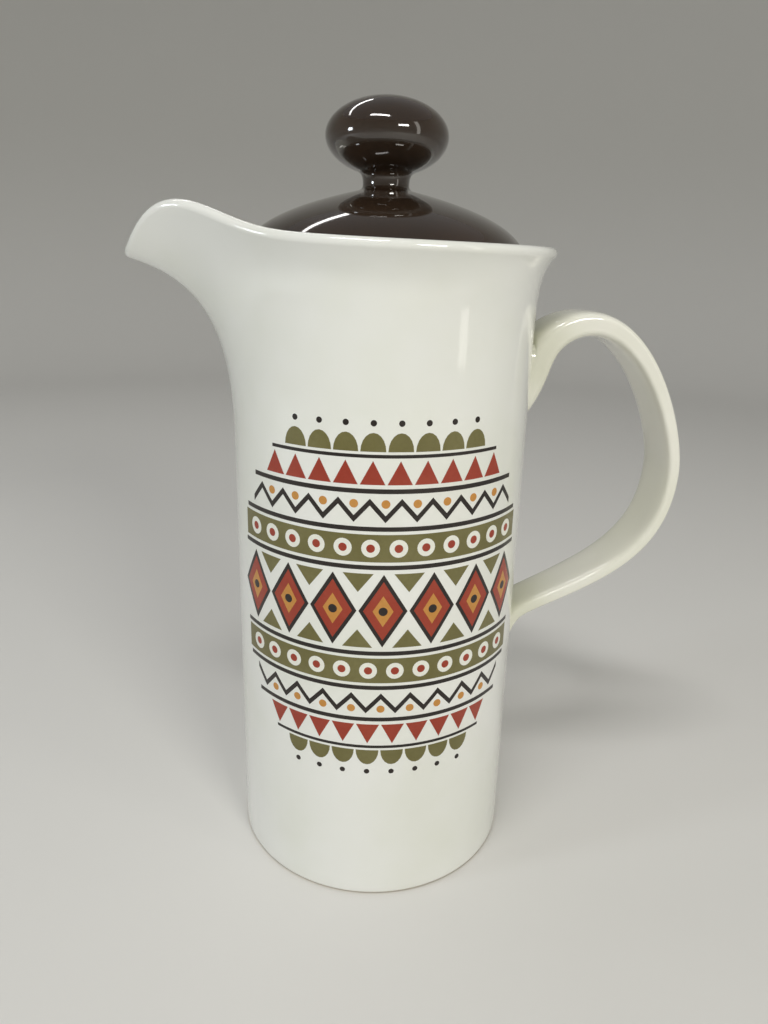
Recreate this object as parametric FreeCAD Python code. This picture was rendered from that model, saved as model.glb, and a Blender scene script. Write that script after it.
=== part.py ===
import FreeCAD, Part
import math
import os

# Sizes are in millimetres and angles in degrees.
# Z runs up the barrel's axis from the table, the pouring lip points along -X and the handle along +X.

# Barrel and rim
foot_radius = 50.0
neck_radius = 48.8
rim_height = 212.5
rim_thickness = 3.4
rim_flare = 4.6
rim_flare_length = 5.0
wall = 4.0

# Foot and floor
foot_edge_radius = 1.5
foot_ring_width = 5.0
foot_recess_depth = 2.5
floor_thickness = 5.0
floor_corner_radius = 8.0

# Pouring lip: its keel leaves the barrel lip_length below the rim and ends in a nose below rim level
lip_length = 59.3
lip_reach = 79.7
lip_nose_drop = 4.5
lip_nose_angle = 16.6
lip_rise = 38.2
lip_run = 17.5
lip_spread = 25.1
crest_lift = 10.6
crest_angle = 19.1
crest_sharpness = 4.1
rim_sweep = 3.0
rim_sweep_spread = 70.0

# Gallery: the ledge inside the mouth that carries the lid, left open behind the lip
gallery_drop = 6.5
gallery_edge_height = 4.0
gallery_edge_radius = 1.0
gallery_open_angle = 46.0

# Lid
lid_gap = 0.7
lid_seat_width = 3.8
lid_skirt_clearance = 0.7
lid_skirt_depth = 14.5
lid_skirt_thickness = 3.6
lid_edge_height = 2.0
lid_edge_radius = 0.6
lid_rise = 21.8
lid_thickness = 4.5
lid_shoulder = 10.3
lid_crown_run = 14.9
lid_crown_fall = 3.5

# Knob
knob_foot_radius = 8.7
knob_neck_radius = 7.2
knob_neck_height = 1.7
knob_radius = 18.8
knob_belly_height = 15.2
knob_height = 26.3
knob_cove = 1.7

# Handle: a strap that leaves the barrel at two roots and reaches furthest at its knuckle
handle_top_drop = 33.6
handle_top_angle = 47.8
handle_top_pull = 44.9
handle_knuckle_drop = 74.5
handle_knuckle_reach = 103.9
handle_knuckle_pull_up = 19.5
handle_knuckle_pull_down = 32.3
handle_bottom_drop = 128.1
handle_bottom_angle = 25.6
handle_bottom_pull = 32.2
strap_width = 20.1
strap_thickness = 6.9
strap_squareness = 2.6
strap_swell = 2.0
strap_swell_length = 31.6
root_flare = 3.0
root_length = 4.9
top_web_depth = 14.0
top_web_length = 3.2
bottom_web_depth = 5.3
bottom_web_length = 1.6

# Heights and radii that follow from the sizes above
rim_tilt = math.atan(rim_flare / rim_flare_length)
rim_edge_height = rim_height - rim_thickness / 2 * (1 + math.sin(rim_tilt))
barrel_taper = (neck_radius - foot_radius) / rim_edge_height
lip_start = rim_height - lip_length
seat_height = rim_height - gallery_drop
lid_radius = neck_radius - wall - lid_gap
lid_skirt_radius = lid_radius - lid_seat_width
gallery_bore = lid_skirt_radius + lid_skirt_clearance
lid_top = seat_height + lid_rise

UP = FreeCAD.Vector(0, 0, 1)
ORIGIN = FreeCAD.Vector(0, 0, 0)


def in_section(radius, height):
    """A point of the half section that the round pieces are turned from."""
    return FreeCAD.Vector(radius, 0, height)


def line(start, end):
    return Part.makeLine(in_section(*start), in_section(*end))


def arc(start, through, end):
    return Part.Arc(in_section(*start), in_section(*through), in_section(*end)).toShape()


def corner(start, centre, end):
    """A round edge from start to end about a centre."""
    radius = math.dist(start, centre)
    middle = [(a + b) / 2 - c for a, b, c in zip(start, end, centre)]
    stretch = radius / math.hypot(*middle)
    return arc(start, [c + m * stretch for c, m in zip(centre, middle)], end)


def curve(*poles):
    """A smooth curve pulled by its middle poles."""
    bezier = Part.BezierCurve()
    bezier.setPoles([in_section(*pole) for pole in poles])
    return bezier.toShape()


def bezier_point(poles, s):
    """The point of a cubic curve at s, from 0 at its first pole to 1 at its last."""
    weights = ((1 - s) ** 3, 3 * s * (1 - s) ** 2, 3 * s ** 2 * (1 - s), s ** 3)
    return [sum(w * p[axis] for w, p in zip(weights, poles)) for axis in (0, 1)]


def turned(edges):
    """A solid turned about the axis from the closed outline of its half section."""
    return Part.Face(Part.Wire(edges)).revolve(ORIGIN, UP, 360)


def closed_curve(points, measure):
    """A smooth closed curve through points at their measures, with the measure of its closing last."""
    loop = Part.BSplineCurve()
    loop.interpolate(Points=points, PeriodicFlag=True, Parameters=measure)
    return loop


# Barrel wall and lip

def barrel_radius(height):
    """Outer radius of the barrel away from the lip: a slight taper that flares out under the rim."""
    flare = rim_flare * math.exp((height - rim_edge_height) / rim_flare_length)
    return foot_radius + barrel_taper * height + flare


def mid_wall(height):
    return barrel_radius(height) - wall / 2


def lip_keel(s):
    """Radius and height along the middle of the lip's underside, from the barrel to the nose."""
    angle = math.radians(lip_nose_angle)
    along = (math.cos(angle), math.sin(angle))
    half = rim_thickness / 2
    start = (barrel_radius(lip_start), lip_start)
    nose = (lip_reach - half * (1 - along[1]), rim_height - lip_nose_drop - half * along[0])
    rise = (start[0] + barrel_taper * lip_rise, lip_start + lip_rise)
    run = (nose[0] - lip_run * along[0], nose[1] - lip_run * along[1])
    return bezier_point((start, rise, run, nose), s)


def bell(angle, spread):
    """A smooth hump of height 1 about the lip's middle."""
    return math.exp(-(angle / math.radians(spread)) ** 2)


def crest(angle):
    """Rise of the rim at an angle from the lip's middle, highest at the crest on each side of the lip."""
    ratio = abs(angle) / math.radians(crest_angle)
    return crest_lift * (ratio * math.exp(1 - ratio)) ** crest_sharpness


def outer_point(angle, s):
    """Point of the outer wall at an angle from the lip's middle, s from 0 below the lip to 1 at the rim."""
    keel_radius, keel_height = lip_keel(s)
    share = (keel_height - lip_start) / (lip_keel(1)[1] - lip_start)
    level = lip_start + share * (rim_edge_height - lip_start)
    lip = bell(angle, lip_spread)
    fade = s ** 3
    swept = level + rim_sweep * bell(angle, rim_sweep_spread) * fade
    radius = barrel_radius(level) * (1 - lip) + keel_radius * lip
    height = swept * (1 - lip) + keel_height * lip + crest(angle) * fade
    return FreeCAD.Vector(-radius * math.cos(angle), radius * math.sin(angle), height)


def wall_frame(angle, s):
    """Outward normal of the outer wall at a point, and the direction that leads on over its rim."""
    step = 1e-4
    across = outer_point(angle + step, s) - outer_point(angle - step, s)
    upward = outer_point(angle, s + step) - outer_point(angle, s - step)
    normal = upward.cross(across).normalize()
    return normal, across.normalize().cross(normal)


def over_rim(angle, turn):
    """Point of the rounded rim, turn from 0 at its outer edge to 180 at its inner edge."""
    normal, onward = wall_frame(angle, 1)
    half = rim_thickness / 2
    turn = math.radians(turn)
    centre = outer_point(angle, 1) - normal * half
    return centre + normal * (half * math.cos(turn)) + onward * (half * math.sin(turn))


def inner_point(angle, s):
    """Point of the inner wall, one wall thickness in from the outer wall."""
    thickness = wall + (rim_thickness - wall) * s ** 4
    return outer_point(angle, s) - wall_frame(angle, s)[0] * thickness


def circle_row(radius, height, angles):
    return [FreeCAD.Vector(-radius * math.cos(a), radius * math.sin(a), height) for a in angles]


def round_row(centre, radius, turn, angles):
    """A level row on a round edge that is turned about a centre of the half section."""
    turn = math.radians(turn)
    return circle_row(centre[0] + radius * math.cos(turn), centre[1] + radius * math.sin(turn), angles)


def wall_angles():
    """Angles round the wall from the back, close together at the lip, and the back again to close them."""
    coarse, fine, lip_side = 15, 5, 75
    turns = list(range(-180, -lip_side, coarse)) + list(range(-lip_side, lip_side, fine))
    turns += list(range(lip_side, 180 + coarse, coarse))
    return [math.radians(-turn) for turn in turns]


def wall_rows(angles):
    """Closed rows of points: up the outer wall from the foot, over the rim, and down inside to the floor."""
    levels = [i / 10 for i in range(11)]
    shares = (0.03, 0.1, 0.3, 0.6, 0.85)
    edge = foot_edge_radius
    foot = (foot_radius - edge, edge)
    outer = [round_row(foot, edge, turn, angles) for turn in (-90, -60, -30, 0)]
    for share in shares:
        height = edge + share * (lip_start - edge)
        outer.append(circle_row(barrel_radius(height), height, angles))
    outer += [[outer_point(a, s) for a in angles] for s in levels]
    rim = [[over_rim(a, turn) for a in angles] for turn in (45, 90, 135)]
    inner = [[inner_point(a, s) for a in angles] for s in reversed(levels)]
    round_in = floor_corner_radius
    floor = (foot_radius - wall - round_in, foot_recess_depth + floor_thickness + round_in)
    for share in reversed(shares):
        height = floor[1] + share * (lip_start - floor[1])
        inner.append(circle_row(barrel_radius(height) - wall, height, angles))
    inner += [round_row(floor, round_in, turn, angles) for turn in (0, -30, -60, -90)]
    return outer, rim, inner


def row_measure(rows):
    """Mean distance of each row from the first one along the surface."""
    measure = [0.0]
    for below, above in zip(rows, rows[1:]):
        gaps = [(b - a).Length for a, b in zip(below, above)]
        measure.append(measure[-1] + sum(gaps) / len(gaps))
    return measure


def wall_column(poles, measure):
    """A smooth curve through one pole of each row, level where it leaves the foot and meets the floor."""
    outward = FreeCAD.Vector(poles[0].x, poles[0].y, 0).normalize()
    column = Part.BSplineCurve()
    column.interpolate(Points=poles, Parameters=measure, InitialTangent=outward,
                       FinalTangent=-outward, Scale=False)
    return column


def smooth_faces():
    """The outer wall, rim and inner wall as three faces of one smooth surface through the rows."""
    angles = wall_angles()
    outer, rim, inner = wall_rows(angles[:-1])
    rows = outer + rim + inner
    turns = [angles[0] - angle for angle in angles]
    loops = [closed_curve(row, turns) for row in rows]
    measure = row_measure(rows)
    columns = [wall_column(list(poles), measure) for poles in zip(*[loop.getPoles() for loop in loops])]
    around, along = loops[0], columns[0]
    whole = Part.BSplineSurface()
    whole.buildFromPolesMultsKnots(
        [column.getPoles() for column in columns],
        around.getMultiplicities(), along.getMultiplicities(),
        around.getKnots(), along.getKnots(),
        True, False, around.Degree, along.Degree)
    breaks = (measure[0], measure[len(outer) - 1], measure[len(outer) + len(rim)], measure[-1])
    faces = []
    for start, end in zip(breaks, breaks[1:]):
        band = whole.copy()
        band.segment(around.FirstParameter, around.LastParameter, start, end)
        faces.append(band.toShape())
    return faces


def foot_recess():
    """The hollow under the floor that leaves a foot ring to stand on."""
    outside = foot_radius - foot_edge_radius - foot_ring_width
    return Part.makeCone(outside, outside - foot_recess_depth / 2, foot_recess_depth)


def gallery():
    """The ledge inside the mouth, turned from one side of the lip round to the other."""
    edge = gallery_edge_radius
    lower = seat_height - gallery_edge_height
    root = lower - (mid_wall(lower) - gallery_bore)
    outline = Part.Wire([
        line((mid_wall(seat_height), seat_height), (gallery_bore + edge, seat_height)),
        corner((gallery_bore + edge, seat_height), (gallery_bore + edge, seat_height - edge),
               (gallery_bore, seat_height - edge)),
        line((gallery_bore, seat_height - edge), (gallery_bore, lower)),
        line((gallery_bore, lower), (mid_wall(root), root)),
        line((mid_wall(root), root), (mid_wall(seat_height), seat_height))])
    section = Part.Face(outline)
    section.rotate(ORIGIN, UP, gallery_open_angle - 180)
    return section.revolve(ORIGIN, UP, 360 - 2 * gallery_open_angle)


def level_cap(face, height):
    """A flat face across the end of a wall face that lies at a height."""
    ends = [edge for edge in face.Edges if edge.isClosed()]
    end = min(ends, key=lambda edge: abs(edge.BoundBox.ZMax - height))
    return Part.Face(Part.Wire(end)).reversed()


def pot_body():
    outer, rim, inner = smooth_faces()
    caps = [level_cap(outer, 0), level_cap(inner, foot_recess_depth + floor_thickness)]
    vessel = Part.Solid(Part.Shell([outer, rim, inner] + caps))
    return vessel.cut(foot_recess()).fuse(gallery()).Solids[0]


# Lid and knob

def lid():
    edge = lid_edge_radius
    edge_top = seat_height + lid_edge_height
    skirt_end = seat_height - lid_skirt_depth
    inside = lid_skirt_radius - lid_skirt_thickness
    half = lid_skirt_thickness / 2
    under = lid_top - lid_thickness
    crown = (knob_foot_radius + lid_crown_run, lid_top - lid_crown_fall)
    return turned([
        line((0, lid_top), (knob_foot_radius, lid_top)),
        curve((knob_foot_radius, lid_top), crown, (lid_radius, edge_top + lid_shoulder), (lid_radius, edge_top)),
        line((lid_radius, edge_top), (lid_radius, seat_height + edge)),
        corner((lid_radius, seat_height + edge), (lid_radius - edge, seat_height + edge),
               (lid_radius - edge, seat_height)),
        line((lid_radius - edge, seat_height), (lid_skirt_radius, seat_height)),
        line((lid_skirt_radius, seat_height), (lid_skirt_radius, skirt_end + half)),
        arc((lid_skirt_radius, skirt_end + half), (lid_skirt_radius - half, skirt_end), (inside, skirt_end + half)),
        line((inside, skirt_end + half), (inside, edge_top)),
        curve((inside, edge_top), (inside, edge_top + lid_shoulder * 0.6), (crown[0], under - lid_crown_fall / 2),
              (0, under)),
        line((0, under), (0, lid_top))])


def lid_knob():
    """A flattened ball on a short waisted neck, with a cove where the ball turns into the neck."""
    neck = lid_top + knob_neck_height
    belly = lid_top + knob_belly_height
    crown = lid_top + knob_height
    half_height = crown - belly
    ellipse = 0.5523
    cove = knob_neck_radius + knob_cove
    turn = math.acos(cove / knob_radius)
    inward = knob_radius * math.sin(turn)
    downward = half_height * math.cos(turn)
    under = belly - half_height * math.sin(turn)
    pull = math.tan(turn / 4) * 4 / 3
    return turned([
        line((0, lid_top), (knob_foot_radius, lid_top)),
        curve((knob_foot_radius, lid_top), (knob_neck_radius, lid_top + knob_neck_height * 0.3),
              (knob_neck_radius, neck)),
        curve((knob_neck_radius, neck), (knob_neck_radius, under - downward * knob_cove / inward), (cove, under)),
        curve((cove, under), (cove + pull * inward, under + pull * downward),
              (knob_radius, belly - pull * half_height), (knob_radius, belly)),
        curve((knob_radius, belly), (knob_radius, belly + ellipse * half_height),
              (ellipse * knob_radius, crown), (0, crown)),
        line((0, crown), (0, lid_top))])


# Handle

def strap_path():
    """Poles of the strap's two curves, from the upper root to the knuckle and on to the lower root."""
    top_height = rim_height - handle_top_drop
    knuckle_height = rim_height - handle_knuckle_drop
    bottom_height = rim_height - handle_bottom_drop
    top = (barrel_radius(top_height), top_height)
    bottom = (barrel_radius(bottom_height), bottom_height)
    knuckle = (handle_knuckle_reach, knuckle_height)
    rise = math.radians(handle_top_angle)
    fall = math.radians(handle_bottom_angle)
    upper = (
        top,
        (top[0] + handle_top_pull * math.cos(rise), top[1] + handle_top_pull * math.sin(rise)),
        (handle_knuckle_reach, knuckle_height + handle_knuckle_pull_up),
        knuckle)
    lower = (
        knuckle,
        (handle_knuckle_reach, knuckle_height - handle_knuckle_pull_down),
        (bottom[0] + handle_bottom_pull * math.cos(fall), bottom[1] + handle_bottom_pull * math.sin(fall)),
        bottom)
    return upper, lower


def strap_points():
    """Points along the middle of the strap, closest together near its roots."""
    upper, lower = strap_path()
    shares = [(i / 9) ** 1.5 for i in range(10)]
    points = [bezier_point(upper, s) for s in shares]
    points += [bezier_point(lower, 1 - s) for s in reversed(shares[:-1])]
    return points


def squared(share):
    """A sine or cosine pushed outwards, so that the round that it draws has squarer shoulders."""
    return math.copysign(abs(share) ** (2 / strap_squareness), share)


def strap_section(centre, direction, width, outside, inside):
    """A flattened round loop across the strap, with its own depth on each side of the strap's path."""
    across = FreeCAD.Vector(-direction[1], 0, direction[0])
    middle = in_section(*centre) + across * ((outside - inside) / 2)
    count = 24
    points = []
    for i in range(count):
        turn = 2 * math.pi * i / count
        depth = squared(math.cos(turn)) * (outside + inside) / 2
        side = squared(math.sin(turn)) * width / 2
        points.append(middle + across * depth + FreeCAD.Vector(0, side, 0))
    return Part.Wire(closed_curve(points, list(range(count + 1))).toShape())


def strap_direction(points, i, ahead, level):
    """Direction of the strap at a point, turned towards level by a share from 0 to 1."""
    before, after = points[max(i - 1, 0)], points[min(i + 1, len(points) - 1)]
    along = FreeCAD.Vector(after[0] - before[0], after[1] - before[1], 0).normalize()
    return (along * (1 - level) + FreeCAD.Vector(ahead, 0, 0) * level).normalize()


def strap_sections():
    """Loops across the strap, level, wider and deeper where it grows out of the wall at its two roots."""
    points = strap_points()
    steps = [math.dist(a, b) for a, b in zip(points, points[1:])]
    sections = []
    for i, point in enumerate(points):
        from_top, from_bottom = sum(steps[:i]), sum(steps[i:])
        ahead = 1 if from_top < from_bottom else -1
        root = math.exp(-min(from_top, from_bottom) / root_length)
        half = strap_thickness / 2 + strap_swell * math.exp(-from_top / strap_swell_length)
        outside = half + bottom_web_depth * math.exp(-from_bottom / bottom_web_length)
        inside = half + top_web_depth * math.exp(-from_top / top_web_length)
        direction = strap_direction(points, i, ahead, root)
        sections.append(strap_section(point, direction, strap_width + root_flare * root, outside, inside))
    return sections


def handle(barrel):
    """The strap, run a little way into the wall at both roots and cut back to the wall's face."""
    sections = strap_sections()
    half = (strap_width + root_flare) / 2
    hollow = foot_radius - math.sqrt(foot_radius ** 2 - half ** 2)
    ends = [sections[0].copy(), sections[-1].copy()]
    for end in ends:
        end.translate(FreeCAD.Vector(-(hollow + wall) / 2, 0, 0))
    strap = Part.makeLoft([ends[0]] + sections + [ends[1]], True)
    return strap.cut(barrel).Solids[0]


if __name__ == "__main__":
    os.makedirs("parts", exist_ok=True)
    barrel = pot_body()
    barrel.exportStep("parts/pot_body.step")
    handle(barrel).exportStep("parts/handle.step")
    lid().exportStep("parts/lid.step")
    lid_knob().exportStep("parts/lid_knob.step")
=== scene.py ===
"""Dresses the coffee pot: glazed wall, strap handle, lid, knob and the fired transfer on the barrel.

Lengths are in metres and angles in radians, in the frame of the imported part:
Z runs up the barrel's axis from the table, the pouring lip points along -X and the handle along +X.
"""

from __future__ import annotations

import logging
import math
from dataclasses import dataclass
from enum import Enum
from typing import Any, Mapping, Optional, Sequence, Union

import bpy
import numpy as np
from mathutils import Matrix, Vector

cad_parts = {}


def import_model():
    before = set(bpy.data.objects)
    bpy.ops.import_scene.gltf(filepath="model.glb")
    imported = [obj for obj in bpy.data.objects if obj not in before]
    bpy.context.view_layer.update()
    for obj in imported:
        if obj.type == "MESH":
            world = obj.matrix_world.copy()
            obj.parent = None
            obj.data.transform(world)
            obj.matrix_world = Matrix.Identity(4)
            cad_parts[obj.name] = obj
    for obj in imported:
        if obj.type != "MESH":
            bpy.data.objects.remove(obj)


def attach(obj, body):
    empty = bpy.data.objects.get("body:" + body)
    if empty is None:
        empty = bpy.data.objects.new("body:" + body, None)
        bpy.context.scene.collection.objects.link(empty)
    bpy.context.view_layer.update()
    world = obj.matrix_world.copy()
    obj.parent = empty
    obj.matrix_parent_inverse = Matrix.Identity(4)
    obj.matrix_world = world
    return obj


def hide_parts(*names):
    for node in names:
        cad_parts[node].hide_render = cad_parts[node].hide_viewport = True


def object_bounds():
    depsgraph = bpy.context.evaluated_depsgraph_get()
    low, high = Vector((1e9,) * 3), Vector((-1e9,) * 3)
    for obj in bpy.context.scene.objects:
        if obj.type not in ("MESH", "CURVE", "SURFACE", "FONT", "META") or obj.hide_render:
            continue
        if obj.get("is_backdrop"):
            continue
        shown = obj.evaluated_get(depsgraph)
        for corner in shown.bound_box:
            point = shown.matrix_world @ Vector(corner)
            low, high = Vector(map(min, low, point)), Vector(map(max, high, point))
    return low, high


LOG = logging.getLogger("coffee_pot")
MM = 0.001
TURN = 2 * math.pi
MERGE_DISTANCE = 1e-6

Colour = tuple[float, float, float]
Point = tuple[float, float, float]
Pair = tuple[float, float]
Profile = list[Pair]
Shell = tuple[np.ndarray, list[tuple[int, ...]]]
Inputs = Mapping[Union[int, str], Any]
Socket = bpy.types.NodeSocket
Material = bpy.types.Material
Mesh = bpy.types.Mesh


def fired(red: int, green: int, blue: int) -> Colour:
    """A colour as a paint chart gives it, from 0 to 255, in the linear values that shaders use."""
    shares = [channel / 255 for channel in (red, green, blue)]
    return tuple(s / 12.92 if s <= 0.04045 else ((s + 0.055) / 1.055) ** 2.4 for s in shares)


class Value:
    """A number in a node tree that can be used in a Python expression, where each operation adds a node."""

    def __init__(self, tree: Tree, socket: Socket) -> None:
        """Wraps a socket of a tree."""
        self.tree = tree
        self.socket = socket

    def __add__(self, other: Number) -> Value:
        """self + other."""
        return self.tree.math("ADD", self, other)

    def __radd__(self, other: Number) -> Value:
        """other + self."""
        return self.tree.math("ADD", other, self)

    def __sub__(self, other: Number) -> Value:
        """self - other."""
        return self.tree.math("SUBTRACT", self, other)

    def __rsub__(self, other: Number) -> Value:
        """other - self."""
        return self.tree.math("SUBTRACT", other, self)

    def __mul__(self, other: Number) -> Value:
        """self * other."""
        return self.tree.math("MULTIPLY", self, other)

    def __rmul__(self, other: Number) -> Value:
        """other * self."""
        return self.tree.math("MULTIPLY", other, self)

    def __truediv__(self, other: Number) -> Value:
        """self / other."""
        return self.tree.math("DIVIDE", self, other)

    def __rtruediv__(self, other: Number) -> Value:
        """other / self."""
        return self.tree.math("DIVIDE", other, self)

    def __neg__(self) -> Value:
        """-self."""
        return self.tree.math("MULTIPLY", self, -1.0)

    def __abs__(self) -> Value:
        """abs(self)."""
        return self.tree.math("ABSOLUTE", self)

    def sin(self) -> Value:
        """Sine of an angle."""
        return self.tree.math("SINE", self)

    def cos(self) -> Value:
        """Cosine of an angle."""
        return self.tree.math("COSINE", self)

    def between(self, low: float, high: float) -> Value:
        """A smooth step from 0 at low to 1 at high."""
        settings = {"interpolation_type": "SMOOTHSTEP", "clamp": True}
        return self.tree.value("ShaderNodeMapRange", settings, {0: self, 1: low, 2: high})


Number = Union[float, int, Value]


class Tree:
    """A node tree that is written as Python calls."""

    def __init__(self, tree: bpy.types.NodeTree) -> None:
        """Wraps an empty tree."""
        self.tree = tree

    def put(self, socket: Socket, item: Any) -> None:
        """Sets or links an input.

        Args:
            socket: The input.
            item: A plain value, or the socket or expression to link.
        """
        item = item.socket if isinstance(item, Value) else item
        if isinstance(item, Socket):
            self.tree.links.new(item, socket)
        else:
            socket.default_value = item

    def node(
        self, kind: str, settings: Optional[Mapping[str, Any]] = None, inputs: Optional[Inputs] = None
    ) -> bpy.types.Node:
        """Adds one node.

        Args:
            kind: The node's type.
            settings: Its properties, which are set first.
            inputs: Values or links of its sockets, by name or place.

        Returns:
            The new node.
        """
        node = self.tree.nodes.new(kind)
        for name, setting in (settings or {}).items():
            setattr(node, name, setting)
        for key, item in (inputs or {}).items():
            self.put(node.inputs[key], item)
        return node

    def value(
        self, kind: str, settings: Mapping[str, Any], inputs: Inputs, output: Union[int, str] = 0
    ) -> Value:
        """Adds a node and wraps one of its outputs for use in expressions."""
        return Value(self, self.node(kind, settings, inputs).outputs[output])

    def math(self, operation: str, *operands: Number) -> Value:
        """Adds one Math node with its operands in order, and gives its result."""
        return self.value("ShaderNodeMath", {"operation": operation}, dict(enumerate(operands)))

    def axes(self, vector: Socket) -> tuple[Value, Value, Value]:
        """The three parts of a vector."""
        parts = self.node("ShaderNodeSeparateXYZ", {}, {0: vector})
        return tuple(Value(self, part) for part in parts.outputs)

    def vector(self, x: Number, y: Number, z: Number) -> Socket:
        """A vector from its three parts."""
        return self.node("ShaderNodeCombineXYZ", {}, {0: x, 1: y, 2: z}).outputs[0]


class ShaderTree(Tree):
    """The nodes of one material, which reads the piece's own coordinates."""

    def __init__(self, name: str) -> None:
        """Starts a material with a Principled surface.

        Args:
            name: The material's name.
        """
        self.material = bpy.data.materials.new(name)
        self.material.use_nodes = True
        super().__init__(self.material.node_tree)
        self.surface = self.tree.nodes["Principled BSDF"]
        self.place = self.node("ShaderNodeTexCoord").outputs["Object"]

    def noise(self, scale: float, detail: float = 2.0, roughness: float = 0.5) -> Value:
        """Smooth noise of about 1 / scale metres, from 0 to 1."""
        inputs = {"Vector": self.place, "Scale": scale, "Detail": detail, "Roughness": roughness}
        return self.value("ShaderNodeTexNoise", {}, inputs)

    def near(self, point: Point, inner: float, outer: float) -> Value:
        """How near each place is to a point.

        Args:
            point: The point.
            inner: Distance within which it is 1.
            outer: Distance at which it has faded to 0.

        Returns:
            The nearness.
        """
        ends = {0: self.place, 1: point}
        distance = self.value("ShaderNodeVectorMath", {"operation": "DISTANCE"}, ends, "Value")
        return 1 - distance.between(inner, outer)

    def blend(self, share: Number, first: Any, second: Any) -> Socket:
        """A colour between two colours or colour links."""
        first, second = [(*c, 1.0) if isinstance(c, tuple) else c for c in (first, second)]
        return self.node("ShaderNodeMix", {"data_type": "RGBA"}, {0: share, 6: first, 7: second}).outputs[2]

    def feed(self, name: str, item: Any) -> None:
        """Sets or links an input of the surface."""
        self.put(self.surface.inputs[name], item)

    def bump(self, height: Value, depth: float) -> None:
        """Raises the surface's shading by a height from 0 to 1 of a depth in metres."""
        node = self.node("ShaderNodeBump", {}, {"Strength": 1.0, "Distance": depth, "Height": height})
        self.feed("Normal", node.outputs[0])


@dataclass(frozen=True)
class Specks:
    """Small round specks in a share of the cells of a random grid, with a radius in cells."""

    cells_per_metre: float
    radius: float
    share: float
    strength: float
    fade: float = 0.1

    def mask(self, shader: ShaderTree) -> Value:
        """How much of the specks' colour shows.

        Args:
            shader: The material's nodes.

        Returns:
            The specks' strength in a speck, and 0 elsewhere.
        """
        grid = {"Vector": shader.place, "Scale": self.cells_per_metre}
        cells = shader.node("ShaderNodeTexVoronoi", {}, grid)
        chance = shader.axes(cells.outputs["Color"])[0]
        inside = 1 - Value(shader, cells.outputs["Distance"]).between(self.radius / 2, self.radius)
        return inside * chance.between(1 - self.share, 1 - self.share * (1 - self.fade)) * self.strength


@dataclass(frozen=True)
class Shine:
    """How a fired glaze shines: its gloss, its clear coat and the faint waves of its surface."""

    roughness: float
    smear: float
    smear_scale: float
    bare_roughness: float
    coat: float
    coat_roughness: float
    refraction: float
    wave_scale: float
    peel_scale: float
    depth: float
    peel: float = 0.01

    def dress(self, shader: ShaderTree, wiped: Value) -> Value:
        """Sets the gloss and the coat.

        Args:
            shader: The material's nodes.
            wiped: 1 where the glaze is wiped off and the bare clay shows.

        Returns:
            The height of the surface's waves.
        """
        gloss = self.roughness + shader.noise(self.smear_scale) * self.smear
        shader.feed("Roughness", gloss * (1 - wiped) + self.bare_roughness * wiped)
        shader.feed("Coat Weight", self.coat * (1 - wiped))
        shader.feed("Coat Roughness", self.coat_roughness)
        shader.feed("IOR", self.refraction)
        return shader.noise(self.wave_scale, detail=1.0) + shader.noise(self.peel_scale) * self.peel


@dataclass(frozen=True)
class WhiteGlaze:
    """Clear glaze over pale earthenware, wiped off the foot ring."""

    name: str = "white_glaze"
    colour: Colour = fired(238, 239, 235)
    pooled: Colour = fired(231, 233, 224)
    biscuit: Colour = fired(206, 190, 160)
    thick: Colour = fired(208, 209, 184)
    speck: Colour = fired(120, 108, 92)
    specks: Specks = Specks(cells_per_metre=160.0, radius=0.03, share=0.05, strength=0.7)
    shine: Shine = Shine(
        roughness=0.07,
        smear=0.05,
        smear_scale=60.0,
        bare_roughness=0.75,
        coat=0.6,
        coat_roughness=0.03,
        refraction=1.5,
        wave_scale=28.0,
        peel_scale=420.0,
        depth=0.25 * MM,
    )
    bare_height: float = 0.54 * MM
    glazed_height: float = 0.9 * MM
    pool_core: float = 7.8 * MM
    pool_radius: float = 26.0 * MM
    pool_strength: float = 0.3
    pool_clouding: float = 0.5
    cloud_scale: float = 22.0
    cloud_range: Pair = (0.35, 0.75)
    grain_scale: float = 2500.0
    grain_shade: float = 0.8
    grain_height: float = 0.1

    def glazed(self, shader: ShaderTree, pools: Sequence[Point]) -> Socket:
        """The glaze's colour, with its clouds, specks and pools.

        Args:
            shader: The material's nodes.
            pools: Points where the glaze gathers and lies thick.

        Returns:
            The colour.
        """
        clouds = shader.noise(self.cloud_scale, detail=3.0)
        colour = shader.blend(clouds.between(*self.cloud_range), self.colour, self.pooled)
        colour = shader.blend(self.specks.mask(shader), colour, self.speck)
        for pool in pools:
            gathered = shader.near(pool, self.pool_core, self.pool_radius)
            share = gathered * (self.pool_strength + clouds * self.pool_clouding)
            colour = shader.blend(share, colour, self.thick)
        return colour

    def material(self, pools: Sequence[Point]) -> Material:
        """The finish of the pot's wall and handle.

        Args:
            pools: Points where the glaze gathers and lies thick.

        Returns:
            The material.
        """
        shader = ShaderTree(self.name)
        height = shader.axes(shader.place)[2]
        wiped = 1 - height.between(self.bare_height, self.glazed_height)
        grain = shader.noise(self.grain_scale, detail=4.0, roughness=0.7)
        clay = shader.blend(grain, self.biscuit, tuple(c * self.grain_shade for c in self.biscuit))
        shader.feed("Base Color", shader.blend(wiped, self.glazed(shader, pools), clay))
        waves = self.shine.dress(shader, wiped)
        shader.bump(waves * (1 - wiped) + grain * wiped * self.grain_height, self.shine.depth)
        return shader.material


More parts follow.
